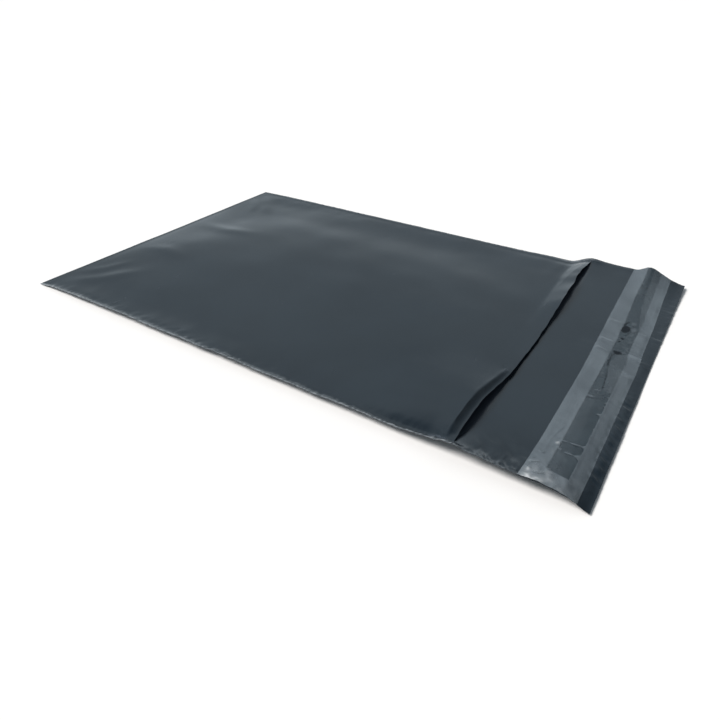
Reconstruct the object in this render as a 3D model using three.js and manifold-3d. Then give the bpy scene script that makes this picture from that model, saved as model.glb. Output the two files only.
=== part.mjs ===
// Poly mailer bag lying flat: one sheet of film folded at the bottom and welded
// along both sides, with the back panel running on past the mouth as a flap.
// The flap carries a strip of adhesive under a clear release liner.
// Millimetres. +X across the width, +Y from the bottom fold to the flap edge,
// +Z up, origin under the middle of the bag on the floor.
import * as THREE from "three";
import Module from "manifold-3d";

const wasm = await Module();
wasm.setup();
const { Manifold, Mesh } = wasm;

// ---- driving dimensions ----
const WIDTH = 190; // bag width over the side welds
const BODY = 250; // bottom fold to mouth
const FLAP = 50; // mouth to flap edge
const FILM = 0.06; // one ply of film
const WELD = 3; // width of each side weld
const FOLD = 0.8; // pressed depth of the bottom fold
const PUFF = 5.8; // how far the plies stand apart in the middle of the pocket
const LINER_FROM = 25; // mouth to the near edge of the release liner
const LINER_WIDTH = 20.5;
const LINER_FILM = 0.05;
const GLUE_FROM = 32; // mouth to the near edge of the adhesive band
const GLUE_WIDTH = 8.3;
const GLUE_LAYER = 0.1;
const GLUE_SHORT = 10.5; // bare length at the +X end of the band
const CLEAR = 0.01; // clearance between layers that rest on each other

const HALF = WIDTH / 2;
const BOTTOM = -(BODY + FLAP) / 2;
const MOUTH = BOTTOM + BODY;
const EDGE = MOUTH + FLAP;
const LINER0 = MOUTH + LINER_FROM;
const LINER1 = LINER0 + LINER_WIDTH;
const GLUE0 = MOUTH + GLUE_FROM;
const GLUE1 = GLUE0 + GLUE_WIDTH;
const INNER = HALF - WELD; // where the pocket begins beside a weld

// ---- shape of the film as it lies ----
const smooth = (a, b, v) => {
  const s = Math.min(1, Math.max(0, (v - a) / (b - a)));
  return s * s * (3 - 2 * s);
};
// Value of a table of [position, value] pairs, eased between its entries.
const along = (table, v) => {
  if (v <= table[0][0]) return table[0][1];
  for (let i = 1; i < table.length; i++)
    if (v <= table[i][0]) {
      const [a, p] = table[i - 1],
        [b, q] = table[i];
      return p + (q - p) * smooth(a, b, v);
    }
  return table[table.length - 1][1];
};

// Height of each side edge off the floor, from the bottom fold to the flap edge.
const RIGHT_EDGE = [
  [-150, 0.2], [-128, 1.2], [-90, 2.0], [-40, 2.3], [40, 2.4], [76, 2.6],
  [89, 3.4], [100, 6.4], [110, 5.9], [118, 4.5], [125, 3.9], [132, 4.1],
  [138, 3.6], [144, 2.1], [150, 0.2],
];
const LEFT_EDGE = [
  [-150, 0.2], [-128, 0.8], [-90, 1.2], [-40, 1.3], [40, 1.3], [60, 1.2],
  [76, 1.4], [87, 0.9], [100.5, 5.5], [112, 4.5], [123.5, 4.5], [131, 7.6],
  [138, 5.0], [143, 2.9], [150, 1.5],
];
// Space between the plies just behind the mouth, across the width.
const CREST = [
  [-92, 0], [-86, 1.0], [-76, 2.6], [-66, 3.8], [-57, 4.7], [-36, 4.8],
  [0, 4.8], [22, 4.8], [40, 5.4], [54, 7.2], [66, 8.0], [78, 6.6], [86, 3.2],
  [90, 1.0], [92, 0],
];
// How far the lip of the front panel turns up at -X and down at +X.
const LIP_UP = [
  [-92, 0], [-86, 1.5], [-76, 2.6], [-66, 2.8], [-52, 1.9], [-38, 0.9], [-24, 0],
];
const LIP_DOWN = [
  [36, 0], [46, 0.7], [56, 1.5], [68, 1.7], [80, 1.6], [87, 1.0], [91, 0],
];
const LIP_UP_DEPTH = 9; // mouth to the crease of the turned-up lip
const LIP_DOWN_DEPTH = 4.5;

// Underside of the back panel and flap: flat on the floor in the middle, lifted
// towards the side edges, further in on the flap than on the body.
function underside(x, y) {
  const reach = 24 + (x > 0 ? 16 : 24) * smooth(MOUTH - 30, MOUTH + 20, y);
  const s = Math.max(0, (Math.abs(x) - (HALF - reach)) / reach);
  return along(x > 0 ? RIGHT_EDGE : LEFT_EDGE, y) * s * s;
}

// Space between the plies. In the welds and at the fold the plies are pressed
// half way into each other, which makes them one body.
function pocketGap(x, y) {
  const pressed = -FILM / 2;
  if (Math.abs(x) >= INNER || y <= BOTTOM + FOLD) return pressed;
  const u = Math.abs(x) / INNER;
  const v = Math.min(1, (y - BOTTOM - FOLD) / 70);
  const body = PUFF * (1 - u ** 3) * (1 - (1 - v) ** 2.5);
  const m = smooth(MOUTH - 50, MOUTH - 7, y);
  const up = Math.max(0, (y - MOUTH + LIP_UP_DEPTH) / LIP_UP_DEPTH);
  const down = Math.max(0, (y - MOUTH + LIP_DOWN_DEPTH) / LIP_DOWN_DEPTH);
  const lip = along(LIP_UP, x) * up - along(LIP_DOWN, x) * down;
  return Math.max(pressed, body * (1 - m) + along(CREST, x) * m + lip);
}

const backLow = underside;
const backHigh = (x, y) => underside(x, y) + FILM;
const frontLow = (x, y) => backHigh(x, y) + pocketGap(x, y);
const frontHigh = (x, y) => frontLow(x, y) + FILM;

// ---- sheets ----
// A closed thin sheet over the grid of xs by ys, between two height functions.
function sheet(xs, ys, low, high) {
  const nx = xs.length,
    ny = ys.length,
    plane = new THREE.PlaneGeometry(1, 1, nx - 1, ny - 1),
    grid = plane.index.array, // the triangles of one face, seen from above
    position = [],
    index = [];
  const flat = plane.getAttribute("position");
  const put = (height) => {
    for (let i = 0; i < flat.count; i++) {
      const x = xs[Math.round((flat.getX(i) + 0.5) * (nx - 1))],
        y = ys[Math.round((flat.getY(i) + 0.5) * (ny - 1))];
      position.push(x, y, height(x, y));
    }
  };
  put(high);
  put(low);
  const lower = flat.count;
  for (let i = 0; i < grid.length; i += 3) {
    const [a, b, c] = [grid[i], grid[i + 1], grid[i + 2]];
    index.push(a, b, c, lower + a, lower + c, lower + b);
  }
  // the rim, walked round the outline against the clock as seen from above
  const at = (i, j) => (ny - 1 - j) * nx + i,
    rim = [];
  for (let i = 0; i < nx - 1; i++) rim.push(at(i, 0));
  for (let j = 0; j < ny - 1; j++) rim.push(at(nx - 1, j));
  for (let i = nx - 1; i > 0; i--) rim.push(at(i, ny - 1));
  for (let j = ny - 1; j > 0; j--) rim.push(at(0, j));
  rim.forEach((a, k) => {
    const b = rim[(k + 1) % rim.length];
    index.push(lower + a, lower + b, b, lower + a, b, a);
  });
  return new THREE.BufferGeometry()
    .setAttribute("position", new THREE.Float32BufferAttribute(position, 3))
    .setIndex(index);
}

const solid = (g) =>
  new Manifold(
    new Mesh({
      numProp: 3,
      vertProperties: new Float32Array(g.getAttribute("position").array),
      triVerts: new Uint32Array(g.index.array),
    }),
  );
function geometryOf(s) {
  const m = s.getMesh(),
    v = new Float32Array(m.numVert * 3);
  for (let i = 0; i < m.numVert; i++)
    v.set(m.vertProperties.subarray(i * m.numProp, i * m.numProp + 3), i * 3);
  const g = new THREE.BufferGeometry()
    .setAttribute("position", new THREE.BufferAttribute(v, 3))
    .setIndex(new THREE.BufferAttribute(new Uint32Array(m.triVerts), 1));
  g.computeVertexNormals();
  return g;
}

// Grid lines, closer together where the film bends.
const right = [0, 15, 30, 44, 55, 66, 76, HALF - GLUE_SHORT, 88, INNER, HALF - WELD / 2, HALF];
const XS = [...right.slice(1).map((x) => -x).reverse(), ...right];
const BODY_YS = [
  BOTTOM, BOTTOM + FOLD, -147, -142, -134, -124, -110, -92, -70, -44, -16, 12,
  36, 54, 66, 76, 83, 87, 91, 95.5, MOUTH,
];
const LINER_YS = [LINER0, 128.5, GLUE0, 135.7, GLUE1, 142, LINER1];
const FLAP_YS = [104, 108.5, 113, 117, 121, ...LINER_YS, 147, EDGE];

const film = solid(sheet(XS, [...BODY_YS, ...FLAP_YS], backLow, backHigh)).add(
  solid(sheet(XS, BODY_YS, frontLow, frontHigh)),
);

// The adhesive band and the liner over it follow the flap.
const glueLow = (x, y) => backHigh(x, y) + CLEAR;
const glueHigh = (x, y) => glueLow(x, y) + GLUE_LAYER;
const linerLow = (x, y) => glueHigh(x, y) + CLEAR;
const linerHigh = (x, y) => linerLow(x, y) + LINER_FILM;
const GLUE_XS = XS.filter((x) => x <= HALF - GLUE_SHORT + 1e-6);
const GLUE_YS = LINER_YS.filter((y) => y >= GLUE0 - 1e-6 && y <= GLUE1 + 1e-6);

const part = new THREE.Group();
part.name = "poly_mailer_bag";
const add = (name, geometry, material) => {
  const mesh = new THREE.Mesh(geometry, new THREE.MeshStandardMaterial(material));
  mesh.name = name;
  part.add(mesh);
};
add("mailer_film", geometryOf(film), { color: 0x1b1d21, roughness: 0.38, metalness: 0 });
add("adhesive_strip", sheet(GLUE_XS, GLUE_YS, glueLow, glueHigh), {
  color: 0x23272b, roughness: 0.3, metalness: 0,
});
add("release_liner", sheet(XS, LINER_YS, linerLow, linerHigh), {
  color: 0x7d848b, roughness: 0.2, metalness: 0, transparent: true, opacity: 0.45,
});

export default part;
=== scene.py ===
"""Poly mailer bag lying on its back panel, flap open.

A folded and side-welded film bag, an adhesive band on its flap and the clear
release liner over the band. Shapes are worked out in millimetres and stored in
metres. +X runs across the width, +Y from the bottom fold to the flap edge, +Z up.
"""

import math

import bpy
import numpy as np
from mathutils import Matrix, Vector


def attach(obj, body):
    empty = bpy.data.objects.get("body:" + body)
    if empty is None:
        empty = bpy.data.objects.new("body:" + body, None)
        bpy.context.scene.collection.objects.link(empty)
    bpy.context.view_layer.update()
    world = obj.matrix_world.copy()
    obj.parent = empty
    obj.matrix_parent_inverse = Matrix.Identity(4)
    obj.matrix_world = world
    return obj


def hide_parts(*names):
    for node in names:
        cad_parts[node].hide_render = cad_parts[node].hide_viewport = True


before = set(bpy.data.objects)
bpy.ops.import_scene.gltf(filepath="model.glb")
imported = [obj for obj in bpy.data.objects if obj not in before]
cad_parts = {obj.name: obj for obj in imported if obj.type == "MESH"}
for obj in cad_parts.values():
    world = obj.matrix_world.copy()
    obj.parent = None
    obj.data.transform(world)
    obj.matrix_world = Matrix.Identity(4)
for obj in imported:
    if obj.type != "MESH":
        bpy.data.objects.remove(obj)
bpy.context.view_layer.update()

MM = 0.001

# ---- dimensions, as in the construction ----
HALF = 95.0
BOTTOM, MOUTH, EDGE = -150.0, 100.0, 150.0
FILM = 0.06
INNER = 92.0
PUFF = 3.0
LINER0, LINER1 = 125.0, 145.5
GLUE0, GLUE1, GLUE_END = 132.0, 140.3, 86.0


# ---- small numeric helpers ----
def smooth(a, b, v):
    s = np.clip((v - a) / (b - a), 0.0, 1.0)
    return s * s * (3 - 2 * s)


def curve(table):
    """Monotone cubic through a table of (place, value)."""
    p = np.array(table, float)
    x, y = p[:, 0], p[:, 1]
    h = np.diff(x)
    d = np.diff(y) / h
    m = np.zeros(len(x))
    a, b = d[:-1], d[1:]
    w1, w2 = 2 * h[1:] + h[:-1], h[1:] + 2 * h[:-1]
    same = a * b > 0
    safe_a, safe_b = np.where(same, a, 1.0), np.where(same, b, 1.0)
    m[1:-1] = np.where(same, (w1 + w2) / (w1 / safe_a + w2 / safe_b), 0.0)

    def at(v):
        v = np.clip(v, x[0], x[-1])
        i = np.clip(np.searchsorted(x, v, side="right") - 1, 0, len(h) - 1)
        s = (v - x[i]) / h[i]
        return (
            y[i] * (1 + 2 * s) * (1 - s) ** 2
            + h[i] * m[i] * s * (1 - s) ** 2
            + y[i + 1] * s * s * (3 - 2 * s)
            + h[i] * m[i + 1] * s * s * (s - 1)
        )

    return at


def noise(x, y, seed):
    """Gradient noise in the plane, about -1 to 1, the same on every run."""
    x, y = np.broadcast_arrays(np.asarray(x, float), np.asarray(y, float))
    xi, yi = np.floor(x).astype(np.int64), np.floor(y).astype(np.int64)
    xf, yf = x - xi, y - yi

    def corner(i, j):
        h = (i * 374761393 + j * 668265263 + seed * 1442695041) & 0xFFFFFFFF
        h = ((h ^ (h >> 13)) * 1274126177) & 0xFFFFFFFF
        h = ((h ^ (h >> 16)) * 2246822519) & 0xFFFFFFFF
        t = ((h ^ (h >> 15)) & 0xFFFF) * (2 * np.pi / 65536.0)
        return np.cos(t) * (xf - (i - xi)) + np.sin(t) * (yf - (j - yi))

    u = xf**3 * (xf * (6 * xf - 15) + 10)
    v = yf**3 * (yf * (6 * yf - 15) + 10)
    low = corner(xi, yi) * (1 - u) + corner(xi + 1, yi) * u
    high = corner(xi, yi + 1) * (1 - u) + corner(xi + 1, yi + 1) * u
    return (low * (1 - v) + high * v) * 1.5


def crumple(x, y, seed):
    """Ridged noise: creased hills between 0 and 1."""
    return np.clip(1 - 1.6 * np.abs(noise(x, y, seed)), 0, 1) ** 1.3


def creases(x, y, long, short, turn, seed):
    """Creases that run roughly one way: ridged noise drawn out along that way."""
    c, s = math.cos(turn), math.sin(turn)
    u = x * c + y * s
    v = y * c - x * s + 0.7 * short * noise(x / (3 * short), y / (3 * short), seed + 50)
    return crumple(u / long, v / short, seed)


def to_line(points, x, y):
    """Distance from a line of points, with its side as sign, and the place along it from 0 to 1."""
    pts = np.array(points, float)
    seg = np.diff(pts, axis=0)
    length = np.hypot(seg[:, 0], seg[:, 1])
    before = np.concatenate([[0], np.cumsum(length)])
    best = np.full(np.shape(x), 1e9)
    side = np.zeros(np.shape(x))
    place = np.zeros(np.shape(x))
    for k, (s, n) in enumerate(zip(seg, length)):
        px, py = x - pts[k, 0], y - pts[k, 1]
        t = (px * s[0] + py * s[1]) / (n * n)
        c = np.clip(t, 0, 1)
        dist = np.hypot(px - c * s[0], py - c * s[1])
        near = dist < best
        best = np.where(near, dist, best)
        side = np.where(near, np.sign(s[0] * py - s[1] * px), side)
        place = np.where(near, (before[k] + c * n) / before[-1], place)
    return best * side, place


def ridge(points, x, y, width, height, ends=0.18, sharp=False):
    """A long low ridge along a line of points, fading out at its ends."""
    d, t = to_line(points, x, y)
    fade = smooth(0, ends, t) * smooth(0, ends, 1 - t)
    d = np.abs(d) / width
    return height * fade * (np.exp(-d) if sharp else np.exp(-d * d))


# ---- the film as it lies ----
RIGHT_EDGE = curve([
    (-150, 0.2), (-128, 1.2), (-90, 2.0), (-40, 2.3), (40, 2.4), (76, 2.6),
    (89, 3.4), (100, 5.7), (110, 4.8), (118, 4.1), (125, 3.7), (132, 3.9),
    (138, 3.5), (144, 2.1), (150, 0.2),
])
LEFT_EDGE = curve([
    (-150, 0.2), (-128, 0.5), (-90, 0.6), (-40, 0.6), (40, 0.6), (60, 0.7),
    (76, 1.1), (87, 0.9), (100.5, 5.5), (112, 4.5), (123.5, 4.5), (131, 7.6),
    (138, 5.0), (143, 2.9), (150, 1.5),
])
CREST = curve([
    (-92, 0), (-86, 0.5), (-76, 0.9), (-66, 1.2), (-52, 1.1), (-38, 0.9), (-24, 0.9),
    (0, 1.4), (22, 1.7), (32, 2.2), (44, 3.5), (54, 4.7), (66, 5.5), (78, 4.9), (86, 2.8),
    (90, 1.0), (92, 0),
])
LIP_UP = curve([
    (-92, 0), (-89, 0.9), (-84, 1.8), (-78, 2.4), (-70, 2.75), (-60, 3.1), (-48, 3.4),
    (-38, 3.4), (-30, 2.7), (-22, 1.8), (-12, 0.9), (0, 0.4), (12, 0), (92, 0),
])
LIP_DOWN = curve([
    (-92, 0), (33, 0), (36, 0.8), (44, 1.2), (56, 1.7), (68, 1.9), (80, 1.8), (87, 1.3),
    (91, 0.3), (92, 0),
])
# How far the cut edge of the front panel stands back from the mouth line.
LIP_BACK = curve([
    (-95, 0), (-85, -0.6), (-77, -1.6), (-69, -1.7), (-62, -1.0), (-52, -0.7), (-40, -0.2), (-20, 0.3),
    (5, 0.9), (28, 0.9), (42, 0.3), (54, -0.6), (66, -1.1), (78, -0.7),
    (88, 0.0), (95, 0.6),
])


def weld_crinkle(x, y):
    """Crinkles that the hot weld leaves in both plies along the side edges."""
    a = np.abs(x)
    near = np.where(x > 0, 11, 12)
    band = smooth(90.6, 93.4, a)
    at_mouth = np.exp(-(((y - 96) / 13) ** 2))
    on_flap = smooth(101, 106, y)
    ends = smooth(BOTTOM, BOTTOM + 12, y) * smooth(EDGE, EDGE - 8, y)
    vary = 0.55 + 0.7 * smooth(-0.6, 0.6, noise(0 * x, y / 23, 15))
    vary = vary * np.where(x > 0, 1.0, 0.28)
    tiny = creases(a, y, 5.5, 1.75, 0.25, near)
    wide = creases(a, y, 9.0, 4.6, -0.35, near + 2)
    fine = band * (0.26 * tiny + 0.30 * wide) * (1 + 0.9 * at_mouth)
    # the hot edge curls up into a thin bead
    curl = np.where(x > 0, 0.62, 0.0) * smooth(92.6, 94.7, a) * (1 - on_flap)
    return ends * vary * ((1 - 0.55 * on_flap) * fine + curl)


def underside(x, y):
    """Underside of the back panel and the flap."""
    a = np.abs(x)
    reach = 24 + np.where(x > 0, 16, 24) * smooth(70, 120, y)
    s = np.maximum(0, (a - (HALF - reach)) / reach)
    z = np.where(x > 0, RIGHT_EDGE(y), LEFT_EDGE(y)) * s * s
    # the back panel is slack between the welds
    z = z + 0.12 * smooth(6, 26, a) * (1 + noise(x / 30, y / 24, 21)) * smooth(96, 84, a)
    # loose waves of the flap
    flap = smooth(MOUTH - 4, MOUTH + 12, y)
    z = z + flap * 0.16 * (1 + noise(x / 34 + 2.2, y / 30, 22))
    z = z + flap * ridge([(-9.4, 112), (-8.0, 134)], x, y, 2.6, 0.20, 0.45)
    z = z + flap * ridge([(-4.4, 112), (-3.4, 134)], x, y, 2.3, 0.22, 0.45)
    z = z + flap * ridge([(-5.0, 135), (-2.0, 150)], x, y, 2.4, 0.22, 0.4)
    z = z + flap * ridge([(10.2, 136), (12.6, 150)], x, y, 2.6, 0.20, 0.4)
    # the flap droops towards its free edge, more at the near side
    droop = curve([(-95, 0.0), (-40, 0.16), (0, 0.40), (40, 0.80), (70, 0.95), (95, 0.7)])(x)
    arch = curve([(100, 0), (116, 0.35), (128, 0.85), (138, 1.0), (143, 0.92), (147, 0.62), (150, 0.30)])(y)
    z = z + droop * arch
    # the free end of the flap is drawn into small slanted puckers by the glue
    slope = curve([(-95, 0.3), (-20, 0.15), (10, 0.2), (32, 0.6), (55, 0.85), (72, 0.75), (95, 0.6)])(x)
    lean = x - slope * (y - 147)
    free = smooth(-1.5, 1.5, y - LINER1 - LINER_HIGH(x)) * smooth(97, 86, a)
    free = free * (1 - 0.75 * smooth(-20, 10, x) * smooth(EDGE - 2.2, EDGE, y))
    patch = 0.35 + 0.65 * smooth(-0.3, 0.4, noise(x / 15 + 0.7, 0 * x, 28))
    patch = patch + 1.5 * smooth(14, 40, x) * smooth(90, 80, x)
    fold = crumple(lean / 3.7, y / 34, 24) * (0.4 + 0.6 * smooth(-0.4, 0.4, noise(lean / 5, y / 5, 33)))
    z = z + free * patch * (0.22 * noise(lean / 2.1, y / 15, 23) + 0.24 * fold)
    z = z + free * patch * 0.08 * noise(lean / 1.0, y / 5, 29)
    rim = smooth(EDGE - 3.6, EDGE - 0.4, y) * smooth(-84, -72, x) * smooth(-22, -38, x)
    z = z + rim * (0.16 * noise(lean / 1.0, y / 2.4, 30) + 0.22 * crumple(lean / 2.1, y / 3.0, 31))
    # the near side of the flap is rumpled between the mouth and the liner
    rough = smooth(66, 90, x) * smooth(103, 112, y) * smooth(133, 123, y)
    z = z + rough * (0.55 * noise(x / 11 + 0.3, y / 9, 25) + 0.30 * creases(x, y, 15, 5.0, 0.9, 27))
    rough = smooth(82, 94, x) * smooth(104, 110, y) * smooth(128, 124, y)
    z = z + rough * 0.32 * creases(x, y, 6.5, 2.6, 0.35, 20)
    rough = smooth(-78, -92, x) * smooth(102, 110, y)
    z = z + rough * 0.20 * noise(x / 12, y / 9, 26)
    return z + weld_crinkle(x, y)


def back_top(x, y):
    return underside(x, y) + FILM


def seam_puckers(x, y):
    """Low ridges that run off the side welds into the front panel."""
    d = INNER - np.abs(x)
    seed = np.where(x > 0, 31, 32)
    wide = crumple((y + 0.35 * d) / 21, d / 60, seed)
    fine = crumple((y - 0.5 * d) / 6.5, d / 40, seed + 2)
    out = wide * smooth(0, 6, d) * np.exp(-np.maximum(d - 4, 0) / 14) * 0.30
    out = out + fine * smooth(0, 2.2, d) * np.exp(-np.maximum(d - 2, 0) / 3.5) * 0.16
    return out * smooth(BOTTOM + 2, BOTTOM + 22, y) * np.where(x > 0, 1.0, 0.5)


FRONT_FOLDS = [
    # line of points, width, height, fade at the ends
    ([(-89, -146), (-74, -130), (-52, -112)], 3.8, 0.40, 0.4),
    ([(-80, -148), (-66, -135), (-50, -126)], 2.8, 0.28, 0.4),
    ([(89, -146), (73, -127), (46, -108)], 4.2, 0.42, 0.4),
    ([(76, -148), (63, -136), (44, -128)], 2.8, 0.28, 0.4),
    ([(-92, 88), (-79, 84), (-60, 83)], 3.4, 0.22, 0.4),
    ([(-20, -146), (-16, -118), (-21, -86)], 5.0, 0.45, 0.45),
    ([(30, -147), (26, -125), (31, -100)], 4.5, 0.40, 0.45),
]


def pocket_gap(x, y):
    """Space between the plies inside the pocket."""
    u = np.minimum(1, np.abs(x) / INNER)
    v = np.clip((y - BOTTOM - 1.5) / 70, 0, 1)
    body = PUFF * (1 - u * u) ** 1.6 * (1 - (1 - v) ** 2.5)
    m = smooth(MOUTH - 60, MOUTH - 4, y)
    gap = body * (1 - m) + CREST(x) * m
    inside = smooth(0, 16, INNER - np.abs(x)) * smooth(BOTTOM + 2, BOTTOM + 34, y)
    away = smooth(MOUTH - 2, MOUTH - 22, y)
    gap = gap + inside * away * (
        0.75 * noise(x / 62 + 0.4, y / 88 + 0.2, 41) + 0.32 * noise(x / 27, y / 43, 42)
    )
    for points, width, height, ends in FRONT_FOLDS:
        gap = gap + ridge(points, x, y, width, height, ends) * smooth(0, 6, INNER - np.abs(x))
    gap = gap + seam_puckers(x, y) * (0.4 + 0.6 * smooth(MOUTH - 3, MOUTH - 12, y))
    # far lip: turned up past a soft crease that ends in a sharp one
    up = (y - (MOUTH - 9.2)) / 9.2
    gap = gap + LIP_UP(x) * 0.5 * (up + np.sqrt(up * up + 0.006)) * smooth(MOUTH - 18, MOUTH - 12, y)
    gap = gap + ridge(
        [(-90, 98.6), (-86, 97.4), (-77, 96.0), (-70, 94.9), (-62, 93.6), (-52, 92.6)],
        x, y, 0.8, 0.09, 0.2, True,
    )
    # near lip: turned down past a crease that runs from side to side
    fold_at = curve([(32, 98.0), (36, 97.6), (44, 97.3), (57, 96.9), (65, 96.7), (78, 96.6),
                     (84, 96.5), (88, 96.5), (91, 97.0), (92, 97.4)])(x)
    down = np.clip((y - fold_at) / np.maximum(0.5, MOUTH - fold_at), 0, 1)
    near = smooth(32.5, 36.5, x)
    gap = gap - near * LIP_DOWN(x) * (1 - (1 - down) ** 1.7)
    gap = gap + 0.6 * np.exp(-np.abs(x - 62) / 7) * smooth(MOUTH - 14, MOUTH, y)
    gap = gap - ridge([(38, 98.2), (34.5, 96.4), (31.0, 95.6)], x, y, 0.9, 0.35, 0.3)
    gap = gap + near * smooth(91, 86, x) * 0.20 * np.exp(-np.abs(y - fold_at) / 0.9)
    # the weld's corners are drawn in beside the mouth
    corner = smooth(80, 89, x) * smooth(88, 95, y)
    gap = gap + corner * 0.35 * crumple(x / 3.2, y / 5.0 - x / 8, 43) * smooth(92, 90.5, x)
    return np.maximum(gap, 0.03)


def lip_shift(x, y):
    snag = 0.30 * noise(x / 9, 0 * x, 44) + 0.16 * crumple(x / 4, 0 * x, 45)
    return LIP_BACK(x) * smooth(MOUTH - 36, MOUTH, y) + snag * smooth(MOUTH - 9, MOUTH, y) * smooth(92, 86, np.abs(x))


# ---- mesh helpers ----
def mesh_object(name, verts, faces, smooth_angle=48):
    me = bpy.data.meshes.new(name)
    me.from_pydata((np.asarray(verts) * MM).tolist(), [], faces)
    me.validate()
    me.shade_smooth()
    me.set_sharp_from_angle(angle=math.radians(smooth_angle))
    me.update()
    ob = bpy.data.objects.new(name, me)
    bpy.context.scene.collection.objects.link(ob)
    return ob


def attribute(ob, name, values):
    layer = ob.data.attributes.new(name, "FLOAT", "POINT")
    layer.data.foreach_set("value", np.asarray(values, np.float32))


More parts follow.
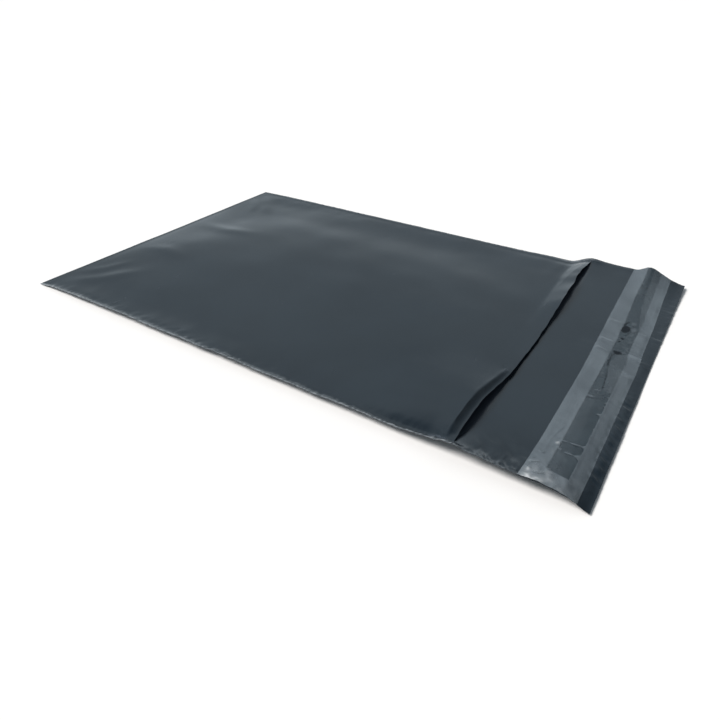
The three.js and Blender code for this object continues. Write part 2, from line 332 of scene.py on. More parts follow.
# ---- the film: one closed skin, with the pocket inside it ----
def build_film():
    columns = np.linspace(-86, 86, 67)
    finer = np.linspace(-86, 86, 66 * 3 + 1)
    strip = np.array([87.5, 89, 90.5, 92, 92.6, 93.2, 93.8, 94.2, 94.6, 95.0])
    weld = int(np.where(strip == INNER)[0][0])
    rows = np.concatenate([
        np.linspace(BOTTOM, 84, 110), np.linspace(84, MOUTH, 29)[1:],
        np.linspace(MOUTH, EDGE, 65)[1:],
    ])
    split = np.concatenate([np.full(109, 4), np.full(28, 1), np.full(64, 2)])
    mouth = 137
    fine, start = [rows[0]], [0]
    for j, n in enumerate(split):
        for k in range(1, n + 1):
            fine.append(rows[j] + (rows[j + 1] - rows[j]) * k / n)
        start.append(len(fine) - 1)
    fine, start = np.array(fine), np.array(start)
    fmouth = int(start[mouth])
    ffold = int(start[1])

    verts, faces, painted_pocket_light = [], [], []
    count = [0]

    def lay(x, y, height, shift):
        """Vertices of one skin over a grid of x by y; gives their numbers."""
        gx, gy = np.meshgrid(x, y, indexing="ij")
        a = np.abs(gx)
        wave = smooth(88, 95, a) * np.sign(gx)
        wander = 0.17 * noise(gy / 11, gx * 0 + np.sign(gx), 51)
        wander = wander + 0.11 * noise(gy / 3.6, gx * 0 + np.sign(gx), 53)
        px = gx + wave * (wander - 0.2)
        py = gy + (lip_shift(gx, gy) if shift else 0)
        end = smooth(EDGE - 8, EDGE, gy)
        py = py + end * (0.12 * noise(gx / 16, gx * 0, 52) - 0.08)
        pz = height(gx, gy)
        verts.append(np.stack([px, py, pz], -1).reshape(-1, 3))
        ids = np.arange(gx.size).reshape(gx.shape) + count[0]
        count[0] += gx.size
        # painted light: the inner plies just inside the mouth get a lighter colour, standing in for light reaching
        # the gap under the lip
        open_to = 0.1 + pocket_gap(gx, gx * 0 + MOUTH) * (a < INNER)
        under = smooth(MOUTH + 0.6 * open_to, MOUTH + 0.1 * open_to, gy)
        painted_pocket_light.append((under * (height in (h_floor, h_ceiling))).ravel())
        return ids

    def bead(x):
        """The rounded outer bead of the weld."""
        q = np.clip((np.abs(x) - 94.4) / 0.62, -1, 1)
        return 0.13 * np.sqrt(1 - q * q)

    def at_weld(x):
        return np.abs(x) >= INNER - 1e-6

    def h_back(x, y):
        return underside(x, y)

    def h_front(x, y):
        zb = underside(x, y)
        shut = at_weld(x) | (y <= rows[1] + 1e-6)
        lone = y <= rows[0] + 1e-6
        z = np.where(shut, zb + 1.6 * FILM + bead(x), zb + 2 * FILM + pocket_gap(x, y))
        return np.where(lone, zb + 1.5 * FILM, z)

    def h_floor(x, y):
        zb = underside(x, y)
        shut = (at_weld(x) & (y <= MOUTH + 1e-6)) | (y <= rows[1] + 1e-6)
        return np.where(shut, zb + 0.8 * FILM, zb + FILM)

    def h_ceiling(x, y):
        zb = underside(x, y)
        return zb + FILM + pocket_gap(x, y)

    sides = (-1, 1)
    B = {"m": lay(columns, rows[: mouth + 1], h_back, False)}
    F = {"m": lay(columns, rows[: mouth + 1], h_front, True)}
    U = {"m": lay(columns, rows[1 : mouth + 1], h_floor, False)}
    L = {"m": lay(columns, rows[2 : mouth + 1], h_ceiling, True)}
    B["f"] = lay(finer, rows[mouth + 1 :], h_back, False)
    U["f"] = lay(finer, rows[mouth + 1 :], h_floor, False)
    pad = np.full((len(columns), 1), -1)
    U["m"] = np.concatenate([pad, U["m"]], 1)
    L["m"] = np.concatenate([pad, U["m"][:, 1:2], L["m"]], 1)
    for s in sides:
        B[s] = lay(s * strip, fine, h_back, False)
        F[s] = lay(s * strip, fine[: fmouth + 1], h_front, True)
        floor_in = lay(s * strip[: weld + 1], fine[ffold:fmouth], h_floor, False)
        floor_out = lay(s * strip, fine[fmouth:], h_floor, False)
        u = np.full((len(strip), len(fine)), -1)
        u[: weld + 1, ffold:fmouth] = floor_in
        u[:, fmouth:] = floor_out
        U[s] = u
        roof = lay(s * strip[:weld], fine[ffold + 1 : fmouth + 1], h_ceiling, True)
        c = np.full((len(strip), len(fine)), -1)
        c[:weld, ffold + 1 : fmouth + 1] = roof
        c[: weld + 1, ffold] = u[: weld + 1, ffold]
        c[weld, ffold : fmouth + 1] = u[weld, ffold : fmouth + 1]
        L[s] = c

    def skin(layer, j0, j1, last, up):
        """Faces of one skin between two rows, out to a column of the side strips."""
        m = layer["m"]
        turn = (lambda f: f) if up else (lambda f: f[::-1])
        if j0 < mouth:
            for i in range(len(columns) - 1):
                for j in range(j0, j1):
                    faces.append(turn((m[i, j], m[i + 1, j], m[i + 1, j + 1], m[i, j + 1])))
            edges = {-1: m[0], 1: m[-1]}
        else:
            g = layer["f"]
            for i in range(len(columns) - 1):
                a, b = m[i, mouth], m[i + 1, mouth]
                c = [g[3 * i + k, 0] for k in range(4)]
                for f in ((a, c[1], c[0]), (a, c[2], c[1]), (a, b, c[2]), (b, c[3], c[2])):
                    faces.append(turn(f))
            for i in range(len(finer) - 1):
                for j in range(g.shape[1] - 1):
                    faces.append(turn((g[i, j], g[i + 1, j], g[i + 1, j + 1], g[i, j + 1])))
            blank = np.full(mouth, -1)
            edges = {s: np.concatenate([blank, m[k, mouth : mouth + 1], g[k]]) for s, k in ((-1, 0), (1, -1))}
        for s in sides:
            w = (lambda f: turn(f)) if s > 0 else (lambda f: turn(f[::-1]))
            g, edge = layer[s], edges[s]
            for j in range(j0, j1):
                n, f0 = split[j], start[j]
                mid = (n + 1) // 2
                for k in range(n):
                    a = edge[j] if k < mid else edge[j + 1]
                    faces.append(w((a, g[0, f0 + k], g[0, f0 + k + 1])))
                faces.append(w((edge[j], g[0, f0 + mid], edge[j + 1])))
            for k in range(last):
                for j in range(start[j0], start[j1]):
                    faces.append(w((g[k, j], g[k + 1, j], g[k + 1, j + 1], g[k, j + 1])))

    end = len(strip) - 1
    skin(B, 0, mouth, end, False)
    skin(B, mouth, len(rows) - 1, end, False)
    skin(F, 0, mouth, end, True)
    skin(U, mouth, len(rows) - 1, end, True)
    skin(U, 1, mouth, weld, True)
    skin(L, 1, mouth, weld, False)

    def across(layer, j, f):
        """A row of one skin from side to side."""
        middle = layer["m"][:, j] if j <= mouth else layer["f"][:, j - mouth - 1]
        return np.concatenate([layer[-1][::-1, f], middle, layer[1][:, f]])

    n = len(rows) - 1
    low, high = across(B, 0, 0), across(F, 0, 0)
    for i in range(len(low) - 1):
        faces.append((low[i], low[i + 1], high[i + 1], high[i]))
    low, high = across(B, n, start[n]), across(U, n, start[n])
    for i in range(len(low) - 1):
        faces.append((low[i], high[i], high[i + 1], low[i + 1]))
    top, roof, floor = across(F, mouth, fmouth), across(L, mouth, fmouth), across(U, mouth, fmouth)
    for i in range(len(top) - 1):
        a = roof[i] if roof[i] >= 0 else floor[i]
        b = roof[i + 1] if roof[i + 1] >= 0 else floor[i + 1]
        faces.append((top[i], top[i + 1], b, a))
    for s in sides:
        low, top, floor = B[s][-1], F[s][-1], U[s][-1]
        for j in range(len(fine) - 1):
            if j < fmouth - 1:
                f = (low[j], low[j + 1], top[j + 1], top[j])
            elif j == fmouth - 1:
                f = (low[j], low[j + 1], floor[j + 1], top[j + 1], top[j])
            else:
                f = (low[j], low[j + 1], floor[j + 1], floor[j])
            faces.append(f if s > 0 else f[::-1])

    faces_out = [tuple(int(v) for v in f) for f in faces]
    points = np.concatenate(verts)
    ob = mesh_object("mailer_film_skin", points, faces_out)
    x, y = points[:, 0], points[:, 1]
    # painted glints along the side welds: light grey flecks that follow the weld crinkles, weaker on the far side and
    # on the flap
    wide = 1.3 * np.exp(-(((y - 92) / 10) ** 2))
    painted_weld_glint = smooth(92.9 - wide, 94.2 - 0.6 * wide, np.abs(x)) * (0.30 + 0.70 * smooth(MOUTH + 3, MOUTH - 1, y))
    painted_weld_glint = painted_weld_glint * np.where(x > 0, 1.0, 0.55) * smooth(132, 122, y)
    glint = creases(np.abs(x), y, 5.5, 1.75, 0.25, np.where(x > 0, 11, 12))
    attribute(ob, "painted_weld_glint", painted_weld_glint * (0.22 + 0.78 * glint**1.5))
    attribute(ob, "painted_pocket_light", np.concatenate(painted_pocket_light))
    return ob


def closed_sheet(name, x, y, low, high, place):
    """A thin closed sheet over a grid, with place(x, y) moving its outline a little."""
    gx, gy = np.meshgrid(x, y, indexing="ij")
    px, py = place(gx, gy)
    nx, ny = gx.shape
    top = np.stack([px, py, high(px, py)], -1).reshape(-1, 3)
    under = np.stack([px, py, low(px, py)], -1).reshape(-1, 3)
    n = nx * ny
    at = np.arange(n).reshape(nx, ny)
    faces = []
    for i in range(nx - 1):
        for j in range(ny - 1):
            a, b, c, d = at[i, j], at[i + 1, j], at[i + 1, j + 1], at[i, j + 1]
            faces.append((a, b, c, d))
            faces.append((n + d, n + c, n + b, n + a))
    rim = list(at[:, 0]) + list(at[-1, 1:]) + list(at[-2::-1, -1]) + list(at[0, -2:0:-1])
    for k, a in enumerate(rim):
        b = rim[(k + 1) % len(rim)]
        faces.append((n + a, n + b, b, a))
    faces = [tuple(int(v) for v in f) for f in faces]
    return mesh_object(name, np.concatenate([top, under]), faces), np.concatenate([top, top])


# ---- the adhesive band ----
TOP_NOTCHES = [
    # place along the band, depth, half width at the top
    (30.0, 0.7, 0.9), (34.2, 0.8, 0.7), (36.9, 0.6, 0.8), (43.1, 1.7, 1.5),
    (53.2, 0.6, 0.6), (57.6, 0.3, 0.8), (65.6, 1.7, 1.3), (72.2, 2.7, 2.3),
]


# How far the edges of the liner and of the band run off their straight lines.
LINER_LOW = curve([
    (-95, -2.2), (-80, -2.2), (-62, -2.05), (-44, -1.75), (-26, -1.2), (-10, -0.75),
    (4, -0.3), (16, -0.1), (30, 0),
])
LINER_HIGH = curve([
    (-95, -2.9), (-78, -2.5), (-62, -2.0), (-46, -1.3), (-30, -0.95), (-14, -0.7),
    (-2, -0.2), (8, 0), (95, 0),
])
GLUE_LOW = curve([
    (-95, -2.2), (-80, -2.0), (-68, -2.0), (-56, -1.6), (-50, -1.25), (-44, -1.0),
    (-38, -0.65), (-32, -0.7), (-26, -0.5), (-20, -0.1), (0, 0), (95, 0),
])
GLUE_HIGH = curve([
    (-95, -2.9), (-80, -2.6), (-74, -2.3), (-68, -2.0), (-62, -1.9), (-50, -1.55),
    (-44, -1.1), (-8, -1.0), (-6, -0.85), (-3, 0), (95, 0),
])


def glue_edges(x):
    """Lower and upper edge of the adhesive band."""
    high = GLUE1 + GLUE_HIGH(x) - 0.10 + 0.14 * noise(x / 9, 0 * x, 61) + 0.05 * noise(x / 2.5, 0 * x, 62)
    low = GLUE0 + GLUE_LOW(x) + 0.05 + 0.12 * noise(x / 10, 0 * x, 63) + 0.04 * noise(x / 3.1, 0 * x, 64)
    for at, depth, half in TOP_NOTCHES:
        q = np.clip(1 - np.abs(x - at) / half, 0, 1)
        high = high - depth * (0.35 * q + 0.65 * q**3)
    return low, high


DROPS = [
    # middle, half sizes, turn
    (-31.6, 133.9, 3.1, 1.9, 0.15), (-29.4, 133.5, 1.8, 1.5, 0.0), (-7.4, 135.0, 1.4, 1.9, 0.35),
    (-7.9, 133.9, 1.2, 0.9, 0.0), (-21.4, 134.0, 1.1, 0.7, 0.5), (-18.0, 133.4, 0.8, 0.6, -0.3),
]
TAILS = [
    # line, half width, strength
    ([(-33.4, 133.0), (-36.0, 132.6), (-38.4, 133.3), (-39.4, 134.6)], 0.68, 0.80),
    ([(-32.6, 135.6), (-34.4, 136.4), (-36.6, 136.1), (-37.8, 135.4)], 0.50, 0.55),
    ([(-28.6, 135.4), (-26.4, 135.6), (-24.6, 134.6)], 0.50, 0.55),
    ([(-7.4, 134.0), (-5.4, 133.4), (-2.2, 132.9), (2.3, 133.2), (6.8, 133.8)], 0.62, 0.62),
    ([(9.0, 134.4), (15.6, 135.0), (22.0, 135.6), (26, 135.8)], 0.36, 0.56),
]


def across_band(x, y):
    """Place across the band, as if it were straight and 7.4 wide, for the tables here."""
    low, high = GLUE0 + GLUE_LOW(x), GLUE1 + GLUE_HIGH(x)
    over = np.where(y < high, (y - low) * 7.4 / (high - low), y - high + 7.4)
    return GLUE0 + np.where(y < low, y - low, over)


def drops(x, y):
    """1 inside the thick drops of adhesive, falling to 0 outside; the drops are drawn darker, a painted dark
    reflection.
    """
    y = across_band(x, y)
    out = 0 * x
    rough = 0.22 * noise(x / 1.1, y / 1.1, 86)
    for px, py, rx, ry, turn in DROPS:
        c, s = math.cos(turn), math.sin(turn)
        q = np.hypot(((x - px) * c + (y - py) * s) / rx, ((y - py) * c - (x - px) * s) / ry)
        out = np.maximum(out, smooth(1.3, 0.75, q + rough))
    for points, width, strength in TAILS:
        out = np.maximum(out, ridge(points, x, y, width, strength, 0.12))
    return out


def build_glue():
    x = np.linspace(-HALF + 0.25, GLUE_END, 841)
    y = np.linspace(0, 1, 27)

    def place(gx, gy):
        low, high = glue_edges(gx)
        slant = smooth(70, GLUE_END, gx) * (gy - 0.5) * 1.1
        return gx + slant, low + (high - low) * gy

    def body(px, py):
        return back_top(px, py) + 0.03

    def top(px, py):
        low, high = glue_edges(px)
        inset = np.minimum(np.minimum(py - low, high - py), GLUE_END + 0.6 - px)
        return back_top(px, py) + 0.05 + 0.055 * smooth(-0.1, 0.7, inset)

    ob, at = closed_sheet("adhesive_band", x, y, body, top, place)
    # faces of the thick drops take darker, less glossy materials towards their middle: a painted dark reflection
    thick = drops(at[:, 0], at[:, 1])
    for face in ob.data.polygons:
        level = sum(thick[v] for v in face.vertices) / len(face.vertices)
        face.material_index = int(level > 0.4) + int(level > 0.72)
    return ob


# ---- the release liner ----
BUBBLE = (87.0, 129.4, 4.2, 3.6)
CRACKS = [
    # line, half width, height of the liner over it
    ([(65.5, 138.4), (65.85, 135.6), (65.9, 134.2)], 0.36, 0.36),
    ([(65.8, 134.0), (66.2, 131.2)], 0.32, 0.30),
    ([(72.2, 137.6), (72.35, 135.9), (72.3, 133.9)], 0.36, 0.36),
    ([(72.1, 134.0), (71.4, 132.2), (70.6, 131.2)], 0.32, 0.26),
    ([(67.4, 132.2), (68.4, 131.0), (69.0, 130.3)], 0.50, 0.44),
    ([(70.2, 132.6), (71.2, 132.1), (71.7, 131.4)], 0.36, 0.24),
    ([(68.0, 132.4), (68.5, 131.4)], 0.28, 0.16),
    ([(64.0, 132.3), (64.5, 131.2)], 0.28, 0.14),
    ([(26.8, 136.0), (27.2, 133.2)], 0.36, 0.26),
    ([(32.4, 135.0), (32.8, 133.6), (32.7, 131.8)], 0.50, 0.44),
    ([(43.0, 139.6), (43.2, 137.6)], 0.30, 0.16),
    ([(85.0, 133.6), (85.5, 132.3)], 0.40, 0.22),
    ([(8.0, 134.6), (8.4, 133.4)], 0.30, 0.12),
    ([(87.9, 127.8), (88.6, 127.0), (89.3, 126.6)], 0.55, 0.42),
    ([(64.9, 133.0), (62.6, 133.4), (60.3, 133.3)], 0.17, 0.10),
    ([(64.6, 134.3), (61.8, 134.5), (58.6, 134.2)], 0.15, 0.08),
    ([(57.0, 133.2), (54.0, 133.0)], 0.15, 0.07),
]
PAINTED_SHADE_LINES = [
    # line, half width, share of the veil that is gone along it; a painted shade along creases, cracks and the
    # bubble's rim
    ([(87.8, 125.8), (85.6, 126.5), (83.8, 128.0), (83.0, 129.6), (83.2, 131.2)], 0.34, 0.45),
    ([(90.4, 128.2), (90.8, 130.2), (89.6, 132.0), (87.4, 132.6)], 0.30, 0.25),
    ([(76.1, 126.9), (76.9, 127.9), (77.3, 129.3)], 0.30, 0.50),
    ([(56.6, 130.8), (60.5, 129.7), (64.0, 128.9)], 0.24, 0.30),
    ([(67.0, 133.4), (68.8, 132.4), (70.6, 132.9)], 0.20, 0.50),
    ([(69.2, 131.2), (70.0, 132.6), (70.4, 134.0)], 0.20, 0.45),
    ([(64.6, 131.6), (66.0, 130.8), (67.0, 129.8)], 0.22, 0.35),
    ([(80.5, 127.4), (82.0, 126.3)], 0.26, 0.35),
]


# with height=False, gives how strongly a painted glint shows along each crack
def cracks(x, y, height=True):
    y = across_band(x, y)
    out = 0 * x
    for points, width, rise in CRACKS:
        out = np.maximum(out, ridge(points, x, y, width, rise if height else min(1.0, rise / 0.3), 0.3))
    return out


def liner_rise(x, y):
    """Creases and bubbles that lift the liner off what is under it."""
    first, last = LINER0 + LINER_LOW(x), LINER1 + LINER_HIGH(x)
    inner = smooth(0, 1.5, y - first) * smooth(0, 2, last - y)
    # the end that the glue does not hold is crumpled
    loose = smooth(82.5, 88.5, x)
    z = loose * inner * (0.42 * noise(x / 5.5, y / 4.6, 71) + 0.10 * creases(x, y, 11, 4.4, -0.5, 72))
    z = z + 0.30 * smooth(91.5, 94.7, x) * np.exp(-(((y - 130.5) / 4.5) ** 2))
    bx, by, rx, ry = BUBBLE
    q = np.hypot((x - bx) / rx, (y - by) / ry)
    z = z + 0.34 * np.exp(-(((q - 0.85) / 0.24) ** 2)) * (0.6 + 0.5 * noise(x / 2.2, y / 2.2, 78))
    z = z + cracks(x, y)
    # a small step where the liner comes off the edge of the glue
    low, high = glue_edges(x)
    held = smooth(22, 30, x) * smooth(84.2, 83.4, x)
    z = z + held * 0.09 * np.exp(-(((y - high - 0.3) / 0.4) ** 2))
    z = z + held * 0.06 * np.exp(-(((y - low + 0.3) / 0.4) ** 2))
    # long fine creases in the margin next to the mouth
    z = z + ridge([(56.4, 130.4), (61, 129.2), (66.8, 128.3), (74, 128.3), (76.7, 128.6)], x, y, 0.34, 0.13, 0.15)
    z = z + ridge([(66.8, 133.0), (71, 133.3), (75.6, 133.7)], x, y, 0.4, 0.2, 0.15)
    z = z + ridge([(75.8, 126.9), (76.7, 127.8), (77.2, 129.0)], x, y, 0.55, 0.26, 0.25)
    z = z + ridge([(36, 131.2), (41, 130.4), (45, 130.6)], x, y, 0.5, 0.10, 0.3)
    # the margins are full of shallow creases, more towards the near end
    more = 0.45 + 0.55 * smooth(-20, 60, x)
    z = z + inner * more * 0.07 * creases(x, y, 22, 3.4, 0.12, 73)
    z = z + inner * more * 0.09 * creases(x, y, 9, 5.0, 1.2, 74)
    # broad waves across the strip where the flap was folded
    near_mouth = smooth(133.5, 129.5, y - GLUE_LOW(x))
    near_edge = smooth(138.4, 141.6, y - GLUE_HIGH(x))
    for at, width, height, where in (
        (-13.8, 2.2, 0.42, near_mouth), (-4.4, 1.7, 0.44, near_mouth), (-33.5, 2.6, 0.38, near_mouth),
        (-7.6, 1.7, 0.22, near_edge), (10.2, 1.7, 0.30, near_edge), (-18, 2.4, 0.30, near_edge),
        (-30, 2.2, 0.32, near_edge), (30.5, 2.4, 0.28, near_mouth), (-60, 3.0, 0.28, near_edge),
        (-58, 2.8, 0.20, near_mouth), (46, 2.6, 0.22, near_edge), (62, 2.1, 0.24, near_edge),
    ):
        middle = at + 0.22 * (y - 135) + 0.5 * noise(y / 4, 0 * y + at, 79)
        q = x - middle
        z = z + where * inner * height * np.exp(-((q / np.where(q < 0, width, 2.2 * width)) ** 2))
    return z


def liner_low(x, y):
    low, high = GLUE0 + GLUE_LOW(x), GLUE1 + GLUE_HIGH(x)
    over_glue = smooth(-1.6, 0.2, y - low) * smooth(1.6, -0.2, y - high)
    return back_top(x, y) + 0.06 + 0.08 * over_glue + liner_rise(x, y)


def wetting(x, y):
    """How far the adhesive wets the liner: 0 none, 1 fully."""
    low, high = glue_edges(x)
    slant = smooth(70, GLUE_END, x) * ((y - low) / np.maximum(0.1, high - low) - 0.5) * 1.1
    inside = smooth(-0.20, 0.20, y - low) * smooth(-0.20, 0.20, high - y)
    inside = inside * smooth(GLUE_END + 0.25, GLUE_END - 0.25, x - slant)
    thick = drops(x, y)
    y = across_band(x, y)
    # two tones at the far end, divided by a slanting line
    line = curve([(-95, 135.3), (-80, 135.8), (-68, 135.8), (-62, 136.4), (-56, 136.4), (-50, 137.0),
                  (-44, 137.5), (-36.7, 138.2), (-31, 138.9)])(x) + 0.2 * noise(x / 5, 0 * x, 81)
    d = line - y
    far = smooth(-31, -37, x)
    upper = 0.58 + 0.10 * smooth(-80, -66, x)
    w_far = 0.82 + 0.18 * smooth(-80, -52, x) + 0.16 * np.exp(-np.maximum(d, 0) / 1.3)
    w_far = upper + (w_far - upper) * smooth(-0.25, 0.3, d)
    # mottled middle
    w_mid = 0.91 + 0.15 * noise(x / 1.5, y / 4.2, 82) + 0.10 * noise(x / 0.9, y / 1.1, 83)
    # a dark stroke with a lighter field above it
    stroke = curve([(-4, 135.0), (-2.1, 134.2), (2.2, 133.4), (7.2, 133.9), (15.5, 134.9),
                    (22.6, 135.6), (30, 136.2)])(x)
    d = y - stroke
    w_pale = 0.90 - 0.21 * smooth(-0.25, 0.35, d)
    broken = 1 - np.exp(-(((x - 8.2) / 0.6) ** 2))
    thin = np.where(x < 8, 0.55, 0.34)
    w_pale = w_pale + 0.26 * np.exp(-((d / thin) ** 2)) * broken * smooth(-4, -2.4, x)
    # well wetted near end, a little less along its lower third
    w_near = 0.98 - 0.17 * smooth(137.6, 132.8, y) + 0.05 * noise(x / 18, y / 1.1, 84) - 0.10 * smooth(66, 74, x)
    mid = smooth(-37, -31, x) * smooth(-5, -8, x)
    pale = smooth(-8, -5, x) * smooth(30, 22, x)
    near = smooth(22, 30, x)
    w = (far * w_far + mid * w_mid + pale * w_pale + near * w_near) / (far + mid + pale + near + 1e-6)
    w = w + 0.03 * noise(x / 24, y / 1.2, 85)
    # dry and wet spots
    for px, py, rx, ry, much in (
        (-38.0, 136.0, 2.0, 1.3, -0.48), (-32.4, 137.0, 2.6, 1.2, -0.46), (-27.4, 137.2, 1.4, 1.0, -0.18),
        (-23.7, 136.7, 0.9, 1.6, 0.22), (-17.0, 137.4, 0.8, 1.4, 0.16), (-15.0, 135.1, 1.1, 1.2, 0.12),
        (-19.6, 137.9, 1.3, 1.0, -0.16), (-11.5, 137.8, 2.2, 1.0, -0.18), (-8.6, 137.2, 0.9, 0.9, -0.30),
        (13.2, 133.1, 0.9, 0.5, -0.25), (22.8, 138.2, 1.6, 0.7, -0.2), (25.5, 138.4, 1.2, 0.7, -0.2),
        (38.3, 138.0, 1.6, 0.8, -0.12), (86.6, 133, 0.8, 1.0, -0.4), (-25.8, 133.6, 2.6, 1.9, 0.26),
    ):
        q = np.hypot((x - px) / rx, (y - py) / ry)
        w = w + much * smooth(1.25, 0.55, q)
    w = np.maximum(w, 1.2 * thick)
    return np.clip(w, 0, 1) * inside


def build_liner():
    x = np.concatenate([np.linspace(-94.7, 60, 470)[:-1], np.linspace(60, 94.7, 175)])
    y = np.linspace(LINER0, LINER1, 57)

    def place(gx, gy):
        end = smooth(90, HALF, np.abs(gx)) * np.sign(gx)
        side = smooth(LINER0 + 2, LINER0, gy) - smooth(LINER1 - 2, LINER1, gy)
        over = (gy - LINER0) / (LINER1 - LINER0)
        return (
            gx + end * 0.25 * noise(gy / 5, gx * 0, 75),
            gy + (1 - over) * LINER_LOW(gx) + over * LINER_HIGH(gx) + side * 0.12 * noise(gx / 14, gy * 0 + 0.3, 76),
        )

    ob, at = closed_sheet(
        "release_liner_strip", x, y, liner_low, lambda a, b: liner_low(a, b) + 0.05, place
    )
    x, y = at[:, 0], at[:, 1]
    # how much of the liner is seen: a grey veil where it lies dry, gone where it is wetted
    # some cloudiness of the loose near end, and light patches that are painted highlights on its crumples, the bubble
    # and a crack
    cloud = smooth(79, 93, x) * (0.18 + 0.16 * noise(x / 3.6, y / 3.6, 77))
    for px, py, rx, ry, turn, much in (
        (94.2, 128.6, 1.7, 2.6, 0.0, 0.85), (93.6, 132.2, 1.5, 1.6, 0.3, 0.65), (91.4, 127.2, 2.0, 1.2, 0.5, 0.40),
        (87.6, 133.4, 1.5, 1.2, 0.2, 0.36), (89.4, 127.2, 0.9, 0.8, 0.4, 0.62), (93.6, 139.0, 1.6, 1.0, 0.9, 0.45),
        (90.6, 134.8, 2.0, 1.2, 0.7, 0.30), (87.8, 129.6, 2.6, 2.0, 0.2, 0.16), (81.0, 130.2, 2.4, 1.3, 0.1, 0.14),
        (68.3, 131.1, 0.9, 0.7, 0.3, 0.75), (74.5, 131.0, 2.0, 1.0, 0.1, 0.22),
    ):
        c, t = math.cos(turn), math.sin(turn)
        q = np.hypot(((x - px) * c + (y - py) * t) / rx, ((y - py) * c - (x - px) * t) / ry)
        cloud = cloud + much * np.exp(-q * q) * (0.75 + 0.45 * noise(x / 1.3, y / 1.3, 80))
    cloud = np.clip(cloud, 0, 1)
    full = 0.57 + 0.05 * smooth(-20, 70, x)
    outer = smooth(138.4, 141.4, y - GLUE_HIGH(x))
    full = full + outer * (0.06 - 0.30 * smooth(-60, 70, x))
    # painted light and shade on the facets of the creased margin
    inner = smooth(131.5, 129.5, y - GLUE_LOW(x))
    for at, before, after, where, much in (
        (-9.6, 0.9, 4.0, outer, 0.46), (6.6, 1.4, 1.6, outer, 0.24), (62, 9, 9, outer, -0.04),
        (-15.4, 1.6, 1.2, inner, 0.10), (-36.2, 1.8, 3.0, inner, 0.05), (-22.6, 2.6, 2.6, inner, -0.10),
        (-11.4, 1.2, 1.2, inner, -0.08), (-7.2, 0.9, 1.6, inner, 0.14),
    ):
        q = x - at - 0.22 * (y - 135)
        full = full + where * much * np.exp(-((q / np.where(q < 0, before, after)) ** 2))
    veil = (full + 0.30 * cloud) * (1 - wetting(x, y))
    # painted shade: the veil is thinned along creases, cracks and the bubble's rim
    for points, width, much in PAINTED_SHADE_LINES:
        veil = veil * (1 - ridge(points, x, y, width, much, 0.25))
    # painted glints: along the cracks the liner is made nearly opaque light grey
    attribute(ob, "veil", np.clip(np.maximum(veil, 0.8 * cracks(x, y, False)), 0, 1))
    attribute(ob, "haze_and_painted_highlight", cloud)
    return ob


# ---- materials ----
class Nodes:
    """A node material under construction."""

    def __init__(self, name):
        self.mat = bpy.data.materials.new(name)
        self.mat.use_nodes = True
        self.tree = self.mat.node_tree
        self.bsdf = self.tree.nodes["Principled BSDF"]
        self.where = self.add("ShaderNodeTexCoord").outputs["Object"]

    def add(self, kind, **values):
        node = self.tree.nodes.new(kind)
        for key, value in values.items():
            setattr(node, key, value)
        return node

    def link(self, a, b):
        self.tree.links.new(a, b)

    def stretched(self, scale, turn=0.0):
        m = self.add("ShaderNodeMapping")
        m.inputs["Scale"].default_value = scale
        m.inputs["Rotation"].default_value = (0, 0, turn)
        self.link(self.where, m.inputs["Vector"])
        return m.outputs["Vector"]

    def noise(self, scale, detail=3.0, rough=0.55, vector=None):
        n = self.add("ShaderNodeTexNoise")
        n.inputs["Scale"].default_value = scale
        n.inputs["Detail"].default_value = detail
        n.inputs["Roughness"].default_value = rough
        self.link(vector or self.where, n.inputs["Vector"])
        return n.outputs["Fac"]

    def ramp(self, value, a, b, low, high):
        r = self.add("ShaderNodeMapRange")
        r.interpolation_type = "SMOOTHSTEP"
        for name, v in (("From Min", a), ("From Max", b), ("To Min", low), ("To Max", high)):
            r.inputs[name].default_value = v
        self.link(value, r.inputs["Value"])
        return r.outputs["Result"]

    def math(self, op, a, b):
        m = self.add("ShaderNodeMath", operation=op)
        for socket, v in zip(m.inputs, (a, b)):
            if isinstance(v, (int, float)):
                socket.default_value = v
            else:
                self.link(v, socket)
        return m.outputs[0]

    def tint(self, fac, a, b):
        m = self.add("ShaderNodeMix", data_type="RGBA")
        colours = [s for s in m.inputs if s.type == "RGBA"]
        for socket, v in zip(colours, (a, b)):
            if isinstance(v, tuple):
                socket.default_value = (*v, 1)
            else:
                self.link(v, socket)
        self.link(fac, m.inputs[0])
        return [s for s in m.outputs if s.type == "RGBA"][0]

    def bump(self, height, distance, strength=1.0, after=None):
        b = self.add("ShaderNodeBump")
        b.inputs["Strength"].default_value = strength
        b.inputs["Distance"].default_value = distance
        self.link(height, b.inputs["Height"])
        if after is not None:
            self.link(after, b.inputs["Normal"])
        return b.outputs["Normal"]


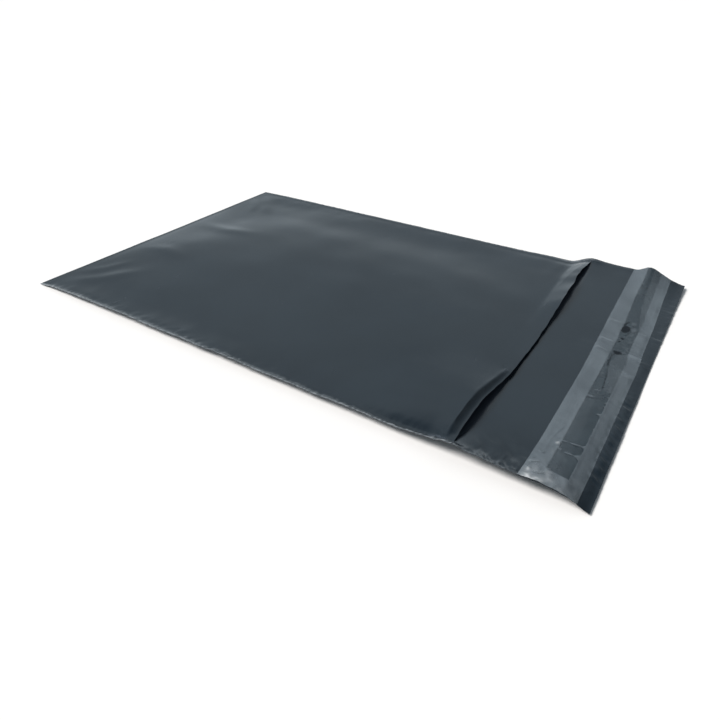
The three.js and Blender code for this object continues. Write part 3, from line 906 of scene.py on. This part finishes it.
def film_material():
    n = Nodes("black_film")
    cloud = n.noise(28, 3)
    streak = n.noise(1.0, 4, 0.6, n.stretched((45, 900, 45)))
    scuff = n.noise(1.0, 3, 0.6, n.stretched((60, 520, 60), 0.7))
    grain = n.noise(1500, 2)
    painted_weld_glint = n.add("ShaderNodeAttribute", attribute_name="painted_weld_glint").outputs["Fac"]
    painted_pocket_light = n.add("ShaderNodeAttribute", attribute_name="painted_pocket_light").outputs["Fac"]
    body = n.tint(n.ramp(cloud, 0.35, 0.65, 0, 1), (0.0055, 0.0115, 0.0180), (0.0075, 0.0145, 0.0220))
    # painted light: the inner plies at the mouth are tinted lighter, so the gap under the lip does not go black
    body = n.tint(painted_pocket_light, body, (0.034, 0.043, 0.058))
    # painted glints: the weld band is tinted light grey in crinkled flecks; the same mask also roughens it
    n.link(n.tint(n.math("MULTIPLY", painted_weld_glint, 0.8), body, (0.30, 0.32, 0.34)), n.bsdf.inputs["Base Color"])
    rough = n.math("ADD", n.ramp(cloud, 0.3, 0.7, 0.165, 0.225), n.ramp(streak, 0.4, 0.7, 0.0, 0.035))
    rough = n.math("ADD", rough, n.ramp(scuff, 0.62, 0.78, 0.0, 0.06))
    n.link(n.math("ADD", rough, n.math("MULTIPLY", painted_weld_glint, 0.08)), n.bsdf.inputs["Roughness"])
    fine = n.bump(grain, 0.000010, 0.55)
    lines = n.bump(streak, 0.000018, 0.5, fine)
    n.link(n.bump(n.noise(210, 3), 0.00006, 0.35, lines), n.bsdf.inputs["Normal"])
    n.bsdf.inputs["IOR"].default_value = 1.51
    return n.mat


def glue_material():
    n = Nodes("clear_glue_on_black")
    cloud = n.noise(120, 3)
    streak = n.noise(1.0, 4, 0.6, n.stretched((70, 1100, 70)))
    n.link(n.tint(n.ramp(cloud, 0.35, 0.65, 0, 1), (0.016, 0.025, 0.033), (0.022, 0.033, 0.042)),
           n.bsdf.inputs["Base Color"])
    n.link(n.ramp(streak, 0.35, 0.7, 0.2, 0.27), n.bsdf.inputs["Roughness"])
    n.link(n.bump(streak, 0.00002, 0.4, n.bump(cloud, 0.00006, 0.3)), n.bsdf.inputs["Normal"])
    n.bsdf.inputs["IOR"].default_value = 1.5
    return n.mat


def drop_material(name, gloss, dark, light):
    n = Nodes(name)
    cloud = n.noise(300, 2)
    n.link(n.tint(cloud, dark, light), n.bsdf.inputs["Base Color"])
    n.link(n.ramp(cloud, 0.3, 0.7, 0.12, 0.22), n.bsdf.inputs["Roughness"])
    n.link(n.bump(cloud, 0.00008, 0.5), n.bsdf.inputs["Normal"])
    n.bsdf.inputs["Specular IOR Level"].default_value = gloss
    return n.mat


def liner_material():
    n = Nodes("clear_liner")
    veil = n.add("ShaderNodeAttribute", attribute_name="veil").outputs["Fac"]
    haze_and_painted_highlight = n.add("ShaderNodeAttribute", attribute_name="haze_and_painted_highlight").outputs["Fac"]
    cloud = n.noise(60, 3)
    streak = n.noise(1.0, 4, 0.6, n.stretched((40, 800, 40)))
    plain = n.tint(n.ramp(cloud, 0.3, 0.7, 0, 1), (0.130, 0.156, 0.180), (0.152, 0.181, 0.206))
    # the liner is lightened to pale grey here: some cloudiness of the loose liner, mostly painted highlights
    n.link(n.tint(n.math("POWER", haze_and_painted_highlight, 1.4), plain, (0.56, 0.575, 0.59)), n.bsdf.inputs["Base Color"])
    uneven = n.math("ADD", n.ramp(cloud, 0.3, 0.7, 0.92, 1.05), n.ramp(streak, 0.4, 0.7, -0.03, 0.05))
    n.link(n.math("MULTIPLY", veil, uneven), n.bsdf.inputs["Alpha"])
    n.link(n.math("ADD", n.ramp(cloud, 0.3, 0.7, 0.11, 0.17), n.math("MULTIPLY", haze_and_painted_highlight, 0.08)),
           n.bsdf.inputs["Roughness"])
    n.link(n.bump(streak, 0.00002, 0.5, n.bump(n.noise(320, 3), 0.00005, 0.35)),
           n.bsdf.inputs["Normal"])
    n.bsdf.inputs["IOR"].default_value = 1.5
    return n.mat


def floor_material():
    n = Nodes("pale_floor")
    n.link(n.tint(n.ramp(n.noise(3, 2), 0.3, 0.7, 0, 1), (0.915, 0.893, 0.880), (0.93, 0.908, 0.895)),
           n.bsdf.inputs["Base Color"])
    n.bsdf.inputs["Roughness"].default_value = 0.9
    n.bsdf.inputs["Specular IOR Level"].default_value = 0.1
    return n.mat


# ---- the object ----
film = build_film()
glue = build_glue()
liner = build_liner()
for piece, node, slot, material in (
    (film, "mailer_film", "film", film_material()),
    (glue, "adhesive_strip", "adhesive", glue_material()),
    (liner, "release_liner", "liner", liner_material()),
):
    piece.data.materials.append(material)
    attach(piece, "root")
    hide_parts(node)

# drop materials: darker and less glossy than the band, a painted dark reflection in the drops
glue.data.materials.append(
    drop_material("glue_drop_edge", 0.26, (0.007, 0.011, 0.015), (0.011, 0.016, 0.021))
)
glue.data.materials.append(
    drop_material("glue_drop_core", 0.10, (0.004, 0.006, 0.009), (0.008, 0.011, 0.015))
)

# ---- floor, light and camera ----
bpy.ops.mesh.primitive_plane_add(size=40, location=(0, 0, -0.0002))
ground = bpy.context.object
ground.name = "floor"
ground.data.materials.append(floor_material())

scene = bpy.context.scene
scene.view_settings.view_transform = "Standard"
scene.view_settings.look = "None"

world = bpy.data.worlds.new("studio")
scene.world = world
world.use_nodes = True
tree = world.node_tree
background = tree.nodes["Background"]
place = tree.nodes.new("ShaderNodeTexCoord")
split_xyz = tree.nodes.new("ShaderNodeSeparateXYZ")
tree.links.new(place.outputs["Generated"], split_xyz.inputs["Vector"])


def sky_ramp(value, stops):
    node = tree.nodes.new("ShaderNodeValToRGB")
    tree.links.new(value, node.inputs["Fac"])
    while len(node.color_ramp.elements) < len(stops):
        node.color_ramp.elements.new(0.5)
    for element, (at, colour) in zip(node.color_ramp.elements, stops):
        element.position = at
        element.color = (*colour, 1)
    return node.outputs["Color"]


def sky_math(op, a, b):
    node = tree.nodes.new("ShaderNodeMath")
    node.operation = op
    for socket, v in zip(node.inputs, (a, b)):
        if isinstance(v, (int, float)):
            socket.default_value = v
        else:
            tree.links.new(v, socket)
    return node.outputs[0]


# Light by the height of the direction above the floor, and by its side: a wide
# window stands at -Y, and the room is dimmer towards +Y.
by_height = sky_ramp(split_xyz.outputs["Z"], (
    (0.0, (1.00, 1.12, 1.20)), (0.15, (0.95, 1.07, 1.15)), (0.30, (0.49, 0.56, 0.605)),
    (0.46, (0.505, 0.58, 0.635)), (0.60, (0.75, 0.86, 0.93)), (0.72, (0.79, 0.90, 0.97)),
    (0.88, (0.40, 0.45, 0.49)), (1.0, (0.26, 0.29, 0.32)),
))
flat_x = sky_math("MULTIPLY", split_xyz.outputs["X"], split_xyz.outputs["X"])
flat_y = sky_math("MULTIPLY", split_xyz.outputs["Y"], split_xyz.outputs["Y"])
flat = sky_math("POWER", sky_math("ADD", sky_math("ADD", flat_x, flat_y), 0.004), 0.5)
side = sky_math("DIVIDE", split_xyz.outputs["Y"], flat)
side = sky_math("ADD", sky_math("MULTIPLY", side, -0.5), 0.5)
by_side = sky_ramp(side, (
    (0.0, (0.28,) * 3), (0.25, (0.32,) * 3), (0.40, (0.46,) * 3), (0.53, (0.78,) * 3),
    (0.63, (0.89,) * 3), (0.75, (0.84,) * 3), (0.88, (0.90,) * 3), (1.0, (0.70,) * 3),
))
both = tree.nodes.new("ShaderNodeMix")
both.data_type = "RGBA"
both.blend_type = "MULTIPLY"
both.inputs[0].default_value = 1.0
colours = [socket for socket in both.inputs if socket.type == "RGBA"]
tree.links.new(by_height, colours[0])
tree.links.new(by_side, colours[1])
tree.links.new([o for o in both.outputs if o.type == "RGBA"][0], background.inputs["Color"])
background.inputs["Strength"].default_value = 0.95


sun = bpy.data.lights.new("key", "SUN")
sun.energy = 3.6
sun.color = (1.0, 0.975, 0.945)
sun.angle = math.radians(26)
key = bpy.data.objects.new("key", sun)
key.rotation_euler = Vector((-0.35, 0.62, -0.72)).to_track_quat("-Z", "Y").to_euler()
key.visible_glossy = False
scene.collection.objects.link(key)

camera = bpy.data.cameras.new("camera")
camera.sensor_width = 36
camera.lens = 29.0
camera.clip_start = 0.01
eye = bpy.data.objects.new("camera", camera)
yaw, pitch = math.radians(-146.79), math.radians(34.08)
look = Vector((math.cos(yaw) * math.cos(pitch), math.sin(yaw) * math.cos(pitch), -math.sin(pitch)))
eye.location = (0.2404, 0.1575, 0.1455)
eye.rotation_euler = look.to_track_quat("-Z", "Y").to_euler()
scene.collection.objects.link(eye)
scene.camera = eye
